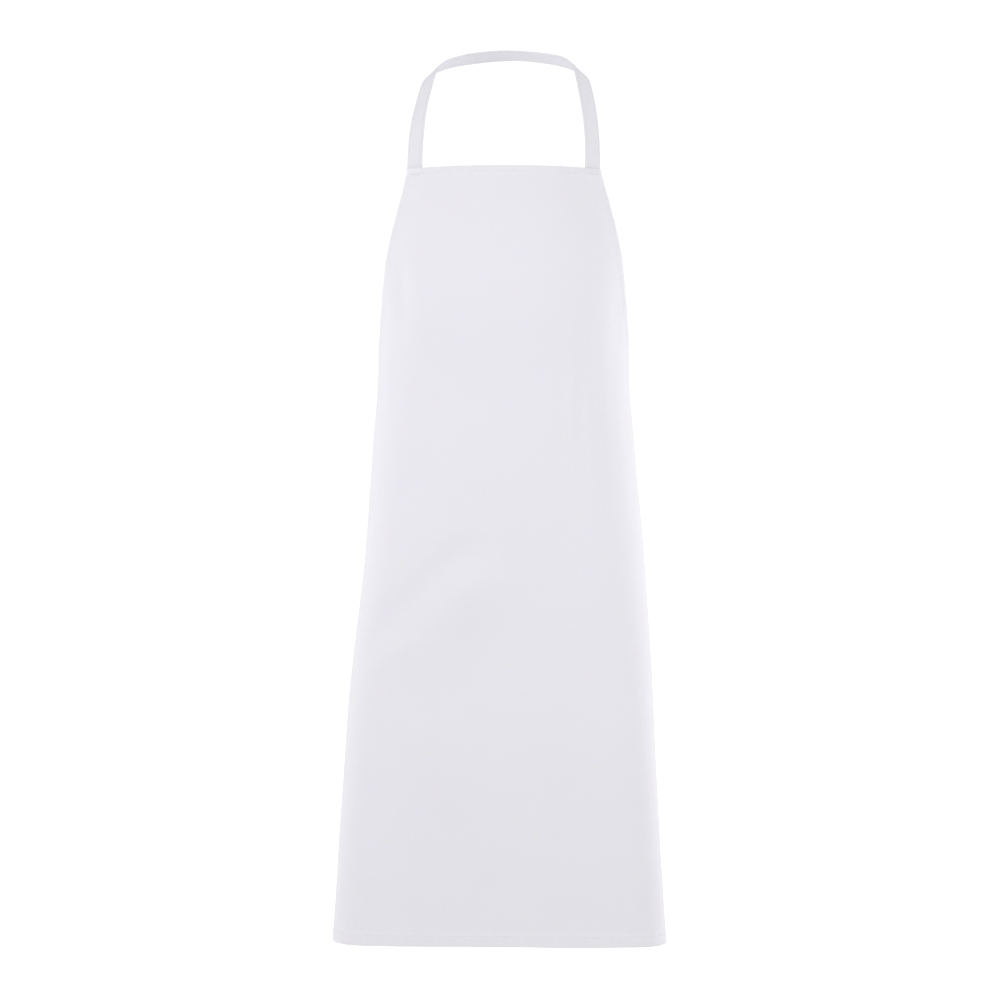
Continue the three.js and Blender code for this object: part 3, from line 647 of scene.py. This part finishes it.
ties, tie_rows, loops, loop_rows, tails, tail_rows, sizes = {}, {}, {}, {}, {}, {}, {}
for side, name in ((1, "left"), (-1, "right")):
    st = []
    for s in np.linspace(HALF - TIE_SEWN, HALF, 6):
        p, n = on_panel(side * s, TIE_LEVEL)
        up, _ = on_panel(side * s, TIE_LEVEL - 13)
        dn, _ = on_panel(side * s, TIE_LEVEL + 13)
        st.append(np.concatenate([p - n * 2.85, unit(up - dn), n]))
    st = np.array(st)
    start, last = st[-1, :3], st[-2, :3]
    end = KNOT_AT + np.array([side * (KNOT[0] + 0.9), -4.5, 0])
    leave, reach = unit(start - last), np.linalg.norm(end - start)
    c = [start, start + leave * reach * .35, end + np.array([side * reach * .35, -1.5, 0]), end]
    f = np.linspace(0, 1, 40)[1:, None]
    b = (1 - f)**3 * c[0] + 3 * f * (1 - f)**2 * c[1] + 3 * f**2 * (1 - f) * c[2] + f**3 * c[3]
    p = np.vstack([st[:, :3], b])
    g = np.concatenate([np.zeros(len(st)), smooth(f[:, 0])])
    across = unit(st[-1, 3:6] * (1 - g)[:, None] + np.array([0, 0, 1.0]) * g[:, None])
    across[:len(st)] = st[:, 3:6]
    tan = unit(np.gradient(p, axis=0))
    across = unit(across - tan * np.einsum("ij,ij->i", across, tan)[:, None])
    out = unit(np.cross(across, tan))
    if out[2] @ st[2, 6:9] < 0:
        out = -out
    w = TIE_W + (13 - TIE_W) * g
    th = TIE_T + (2.2 - TIE_T) * g

    def tie_cup(a, length, g=g, total=arc(p)):
        gg = np.interp(length, total, g)[:, None]
        return gg * 1.0 * np.cos(a * math.pi * 1.9)

    ties[name] = ribbon("waist_tie_%s_cloth" % name, p, across, out, w, th, tie_cup)
    keep = slice(0, int(len(p) * .62))
    tie_rows[name] = ribbon_rows("waist_tie_stitches_" + name, p[keep], across[keep], out[keep], w[keep], th[keep], tie_cup)
    sizes["tie", name] = arc(p)[-1]

    droop = math.radians(17 if side > 0 else 22)
    away = np.array([side * math.cos(droop), 0, -math.sin(droop)])
    wide = np.array([side * math.sin(droop), 0, math.cos(droop)])
    root = KNOT_AT + away * (KNOT[0] + 1.2)
    pts = [root + away * u + np.array([0, v, 0]) for u, v in (
        (0, 3.6), (14, 5.2), (34, 9.0), (58, 11.0), (78, 9.4), (LOOP - 3, 5.4), (LOOP, 1.2),
        (LOOP - 3, -2.8), (78, -4.8), (58, -5.2), (34, -3.8), (14, -2.2), (0, -1.2))]
    p, _ = resample(catmull(pts, 20), 2.0)
    tan = unit(np.gradient(p, axis=0))
    frac = (p - root) @ away / LOOP
    out = unit(np.cross(np.repeat(wide[None], len(p), 0), tan))
    w = 13 + (TIE_W - 13) * smooth(frac * 1.6)

    def loop_cup(a, length, total=arc(p), frac=frac, side=side):
        k = np.interp(length, total, frac)[:, None]
        near = 1 - smooth(k * 2.2)
        return near * 0.75 * np.cos(a * math.pi * 2.1 + .3) + 0.5 * (1 - near) * np.sin(a * 1.7 + length[:, None] / 31.0 + side)

    loops[name] = ribbon("bow_loop_%s_cloth" % name, p, np.repeat(wide[None], len(p), 0), out, w, TIE_T, loop_cup)
    loop_rows[name] = ribbon_rows("bow_loop_stitches_" + name, p[12:-12], np.repeat(wide[None], len(p) - 24, 0),
                                  out[12:-12], w[12:-12], TIE_T, None, faces=(1, -1))
    sizes["loop", name] = arc(p)[-1]

    top = KNOT_AT + np.array([side * 5.6, 1.5, -KNOT[2] - 2.8])
    n_l = TAIL + (0 if side > 0 else 24)
    pts = [top + np.array([side * u, v, z]) for u, v, z in (
        (0, 0, 0), (2.5, .8, -18), (6.5, 2.2, -60), (9.5, 3.2, -.36 * n_l), (13, 3.4, -.6 * n_l),
        (16, 3.0, -.82 * n_l), (19, 3.4, -n_l))]
    p, lens = resample(catmull(pts, 24), 2.5)
    f = lens / lens[-1]
    turn = side * (0.1 + 0.32 * smooth(f)) + (0 if side > 0 else 0.08)
    flat = np.stack([np.cos(turn), np.sin(turn), np.zeros(len(p))], 1)
    w = 8.5 + (TIE_W - 8.5) * smooth(f * 7)
    th = 2.2 + (TIE_T - 2.2) * smooth(f * 6) + 0.9 * smooth((lens - lens[-1] + 9.5) / 1.2)
    tan = unit(np.gradient(p, axis=0))
    p = p.copy()
    p[:, 0] += side * (w - 8.5) * .5
    flat = unit(flat - tan * np.einsum("ij,ij->i", flat, tan)[:, None])
    out = unit(np.cross(flat, tan))

    def tail_cup(a, length, total=lens, side=side):
        k = (length / total[-1])[:, None]
        near = 1 - smooth(k * 6)
        return near * 0.8 * np.cos(a * math.pi * 1.8) + (1 - near) * (
            0.9 * np.sin(length[:, None] / 44.0 + side) * a + 0.55 * np.sin(length[:, None] / 27.0 + 2 * side))

    tails[name] = ribbon("tie_tail_%s_cloth" % name, p, flat, out, w, th, tail_cup)
    sizes["tail", name] = lens[-1]
    body = slice(20, -3)
    parts_name = "tie_tail_stitches_" + name
    tail_rows[name] = ribbon_rows(parts_name, p[body], flat[body], out[body], w[body], th[body],
                                  lambda a, l, o=lens[20], c=tail_cup: c(a, l + o))


def knot():
    """The gathered wrap at the middle of the bow: pleats run round it."""
    rows, cols = 61, 72
    u = np.linspace(-math.pi / 2, math.pi / 2, rows)[:, None]
    v = np.linspace(0, 2 * math.pi, cols, endpoint=False)[None]
    x = np.sin(u) * np.ones_like(v)
    y, z = np.cos(u) * np.cos(v), np.cos(u) * np.sin(v)
    n = 2.6
    r = 1 / (np.abs(x)**n + np.abs(y)**n + np.abs(z)**n) ** (1 / n)
    pleat = 0.034 * np.sin(2 * math.pi * (x * KNOT[0]) / 4.6 + 0.9 * np.sin(v * 2) + 0.5) * np.cos(u) ** .6
    wrap = 0.055 * gauss((x * KNOT[0] - 3.2 * np.sin(v + .5)) / 4.5) - 0.04 * gauss((np.abs(x * KNOT[0] - 3.2 * np.sin(v + .5)) - 8.2) / 1.5)
    r = r * (0.985 + pleat + wrap)
    pts = np.stack([x * r * KNOT[0], y * r * KNOT[1], z * r * KNOT[2]], 2) + KNOT_AT
    body = pts[1:-1].reshape(-1, 3)
    verts = np.vstack([body, pts[0].mean(0), pts[-1].mean(0)])
    f, k = [], rows - 2
    for i in range(k - 1):
        for j in range(cols):
            f.append((i * cols + j, i * cols + (j + 1) % cols, (i + 1) * cols + (j + 1) % cols, (i + 1) * cols + j))
    a, b = k * cols, k * cols + 1
    for j in range(cols):
        f.append((a, (j + 1) % cols, j))
        f.append((b, (k - 1) * cols + j, (k - 1) * cols + (j + 1) % cols))
    uv = np.vstack([np.stack([x[1:-1] * KNOT[0], (v * KNOT[1]) * np.ones_like(x[1:-1])], -1).reshape(-1, 2), [[0, 0], [0, 0]]]) / 1000
    return make("bow_knot_cloth", world(verts), f, uv)


knot_piece = knot()


# ------------------------------------------------------------------ materials
def cloth(name, colour, pitch, rough, tint):
    """Twill: diagonal wales in the cloth's own flat coordinates, over slow changes of tone."""
    m = bpy.data.materials.new(name)
    m.use_nodes = True
    nt = m.node_tree
    b = nt.nodes["Principled BSDF"]
    new = nt.nodes.new

    def link(a, x):
        nt.links.new(a, x)

    uv = new("ShaderNodeTexCoord")
    obj = new("ShaderNodeTexCoord")
    wale = new("ShaderNodeTexWave")
    wale.wave_type, wale.bands_direction, wale.wave_profile = "BANDS", "DIAGONAL", "SIN"
    wale.inputs["Scale"].default_value = 1 / (pitch * 0.00225)
    wale.inputs["Distortion"].default_value = 0.6
    wale.inputs["Detail"].default_value = 1.0
    link(uv.outputs["UV"], wale.inputs["Vector"])
    yarn = new("ShaderNodeTexWave")
    yarn.wave_type, yarn.bands_direction = "BANDS", "X"
    yarn.inputs["Scale"].default_value = 1 / (pitch * 0.0032)
    yarn.inputs["Distortion"].default_value = 0.9
    link(uv.outputs["UV"], yarn.inputs["Vector"])
    slub = new("ShaderNodeTexNoise")
    slub.inputs["Scale"].default_value = 900.0
    slub.inputs["Detail"].default_value = 3.0
    link(obj.outputs["Object"], slub.inputs["Vector"])
    h1 = new("ShaderNodeMath"); h1.operation = "MULTIPLY_ADD"
    link(yarn.outputs["Fac"], h1.inputs[0]); h1.inputs[1].default_value = .35
    link(wale.outputs["Fac"], h1.inputs[2])
    h2 = new("ShaderNodeMath"); h2.operation = "MULTIPLY_ADD"
    link(slub.outputs["Fac"], h2.inputs[0]); h2.inputs[1].default_value = .5
    link(h1.outputs[0], h2.inputs[2])
    fine = new("ShaderNodeBump")
    fine.inputs["Strength"].default_value = .32
    fine.inputs["Distance"].default_value = .00012
    link(h2.outputs[0], fine.inputs["Height"])
    crease = new("ShaderNodeTexNoise")
    crease.inputs["Scale"].default_value = 26.0
    crease.inputs["Detail"].default_value = 4.0
    crease.inputs["Roughness"].default_value = .55
    link(obj.outputs["Object"], crease.inputs["Vector"])
    soft = new("ShaderNodeBump")
    soft.inputs["Strength"].default_value = .22
    soft.inputs["Distance"].default_value = .0012
    link(crease.outputs["Fac"], soft.inputs["Height"])
    link(fine.outputs["Normal"], soft.inputs["Normal"])
    link(soft.outputs["Normal"], b.inputs["Normal"])
    tone = new("ShaderNodeTexNoise")
    tone.inputs["Scale"].default_value = 5.0
    tone.inputs["Detail"].default_value = 2.0
    link(obj.outputs["Object"], tone.inputs["Vector"])
    ramp = new("ShaderNodeValToRGB")
    ramp.color_ramp.elements[0].position, ramp.color_ramp.elements[1].position = .3, .7
    ramp.color_ramp.elements[0].color = (*[c * tint for c in colour], 1)
    ramp.color_ramp.elements[1].color = (*colour, 1)
    link(tone.outputs["Fac"], ramp.inputs["Fac"])
    weave = new("ShaderNodeMix"); weave.data_type = "RGBA"; weave.blend_type = "MULTIPLY"
    weave.inputs["Factor"].default_value = .05
    link(ramp.outputs["Color"], weave.inputs["A"])
    link(wale.outputs["Color"], weave.inputs["B"])
    link(weave.outputs["Result"], b.inputs["Base Color"])
    vary = new("ShaderNodeMapRange")
    vary.inputs["To Min"].default_value, vary.inputs["To Max"].default_value = rough - .05, rough + .05
    link(slub.outputs["Fac"], vary.inputs["Value"])
    link(vary.outputs["Result"], b.inputs["Roughness"])
    b.inputs["Sheen Weight"].default_value = .18
    b.inputs["Sheen Roughness"].default_value = .45
    b.inputs["Specular IOR Level"].default_value = .25
    return m


def thread_material():
    m = bpy.data.materials.new("thread")
    m.use_nodes = True
    nt = m.node_tree
    b = nt.nodes["Principled BSDF"]
    c = nt.nodes.new("ShaderNodeTexCoord")
    w = nt.nodes.new("ShaderNodeTexWave")
    w.bands_direction = "DIAGONAL"
    w.inputs["Scale"].default_value = 900.0
    nt.links.new(c.outputs["Object"], w.inputs["Vector"])
    bump = nt.nodes.new("ShaderNodeBump")
    bump.inputs["Strength"].default_value, bump.inputs["Distance"].default_value = .4, .00008
    nt.links.new(w.outputs["Fac"], bump.inputs["Height"])
    nt.links.new(bump.outputs["Normal"], b.inputs["Normal"])
    ramp = nt.nodes.new("ShaderNodeValToRGB")
    ramp.color_ramp.elements[0].color, ramp.color_ramp.elements[1].color = (.80, .80, .845, 1), (.87, .87, .91, 1)
    nt.links.new(w.outputs["Fac"], ramp.inputs["Fac"])
    nt.links.new(ramp.outputs["Color"], b.inputs["Base Color"])
    b.inputs["Roughness"].default_value = .5
    b.inputs["Sheen Weight"].default_value = .15
    return m


APRON = cloth("apron_cloth", (.845, .834, .882), .75, .86, .985)
STRAP = cloth("strap_cloth", (.838, .828, .877), .75, .84, .98)
THREAD = thread_material()


def finish_piece(o, material, slot, body, *nodes):
    o.data.materials.clear()
    o.data.materials.append(material)
    if nodes:
        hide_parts(*nodes)
    if body:
        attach(o, body)
    return o


finish_piece(panel, APRON, "apron_cloth", "apron", "apron_panel")
for node, o in hems.items():
    finish_piece(o, APRON, "apron_cloth", "apron", node)
for node, o in {**stitches, **tacks}.items():
    finish_piece(o, THREAD, "thread", "apron", node)
finish_piece(neck, STRAP, "strap_cloth", None, "neck_strap", "neck_strap_end_left", "neck_strap_end_right")
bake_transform(neck)
for name, o in strap_rows.items():
    finish_piece(o, THREAD, "thread", None, "neck_strap_stitching_" + name)
    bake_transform(o)
finish_piece(knot_piece, STRAP, "strap_cloth", "apron", "bow_knot")
for name in ("left", "right"):
    finish_piece(ties[name], STRAP, "strap_cloth", "apron", "waist_tie_" + name)
    finish_piece(tie_rows[name], THREAD, "thread", "apron")
    finish_piece(loops[name], STRAP, "strap_cloth", "loop_" + name, "bow_loop_" + name)
    finish_piece(loop_rows[name], THREAD, "thread", "loop_" + name)
    finish_piece(tails[name], STRAP, "strap_cloth", "tail_" + name, "tie_tail_" + name)
    finish_piece(tail_rows[name], THREAD, "thread", "tail_" + name)

# ------------------------------------------------------------------ room, light, camera
lo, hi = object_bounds()
FLOOR = lo.z - 0.13
me = bpy.data.meshes.new("floor")
me.from_pydata([(-400, -400, FLOOR), (400, -400, FLOOR), (400, 400, FLOOR), (-400, 400, FLOOR)], [], [(0, 1, 2, 3)])
floor = bpy.data.objects.new("floor", me)
bpy.context.scene.collection.objects.link(floor)
fm = bpy.data.materials.new("floor_paint")
fm.use_nodes = True
fb = fm.node_tree.nodes["Principled BSDF"]
fb.inputs["Base Color"].default_value = (.5, .5, .5, 1)
fb.inputs["Roughness"].default_value = .9
fb.inputs["Emission Color"].default_value = (1, 1, 1, 1)
glow = fm.node_tree.nodes.new("ShaderNodeLightPath")
level = fm.node_tree.nodes.new("ShaderNodeMapRange")
level.inputs["To Min"].default_value, level.inputs["To Max"].default_value = 0.32, .74
fm.node_tree.links.new(glow.outputs["Is Camera Ray"], level.inputs["Value"])
fm.node_tree.links.new(level.outputs["Result"], fb.inputs["Emission Strength"])
me.materials.append(fm)

scene = bpy.context.scene
w = bpy.data.worlds.new("studio")
scene.world = w
w.use_nodes = True
wn = w.node_tree
bg = wn.nodes["Background"]
bg.inputs["Color"].default_value = (1, 1, 1, 1)
path = wn.nodes.new("ShaderNodeLightPath")
mix = wn.nodes.new("ShaderNodeMapRange")
mix.inputs["To Min"].default_value, mix.inputs["To Max"].default_value = 0.70, 1.06
wn.links.new(path.outputs["Is Camera Ray"], mix.inputs["Value"])
wn.links.new(mix.outputs["Result"], bg.inputs["Strength"])


def softbox(name, at, aim, size, power, colour=(1, 1, 1)):
    d = bpy.data.lights.new(name, "AREA")
    d.shape, d.size, d.size_y, d.energy, d.color = "RECTANGLE", size[0], size[1], power, colour
    o = bpy.data.objects.new(name, d)
    o.location = at
    o.rotation_euler = (Vector(aim) - Vector(at)).to_track_quat("-Z", "Y").to_euler()
    o.visible_camera = False
    scene.collection.objects.link(o)


# the key light stands on the left, a high one on the right, and one behind each side lights the edges
softbox("key_left", (-1.25, -1.15, -.1), (0, -.1, -.42), (.8, .8), 7.50)
softbox("high_right", (1.3, -1.2, .55), (0, -.1, -.3), (.9, 1.2), 4.80)
softbox("near_right", (1.1, -.75, -.5), (.15, -.1, -.5), (.5, .5), 2.07)
softbox("side_left", (-1.1, .6, -.7), (-.1, -.05, -.7), (.5, .9), 2.97)
softbox("side_right", (1.1, .6, -.7), (.1, -.05, -.7), (.5, .9), 4.09)
softbox("back_fill", (0, 2.8, .6), (0, -.1, -.55), (2.4, 1.8), 4)

cam = bpy.data.cameras.new("camera")
cam.lens, cam.sensor_width = 36 * 4000 / 1277, 36
cam.clip_start, cam.clip_end = .1, 1000
co = bpy.data.objects.new("camera", cam)
co.location = Vector(world([0, -4000, -430]))
co.rotation_euler = (math.radians(90), 0, 0)
scene.collection.objects.link(co)
scene.camera = co
scene.view_settings.view_transform = "Standard"
scene.view_settings.look = "None"

bpy.context.view_layer.update()
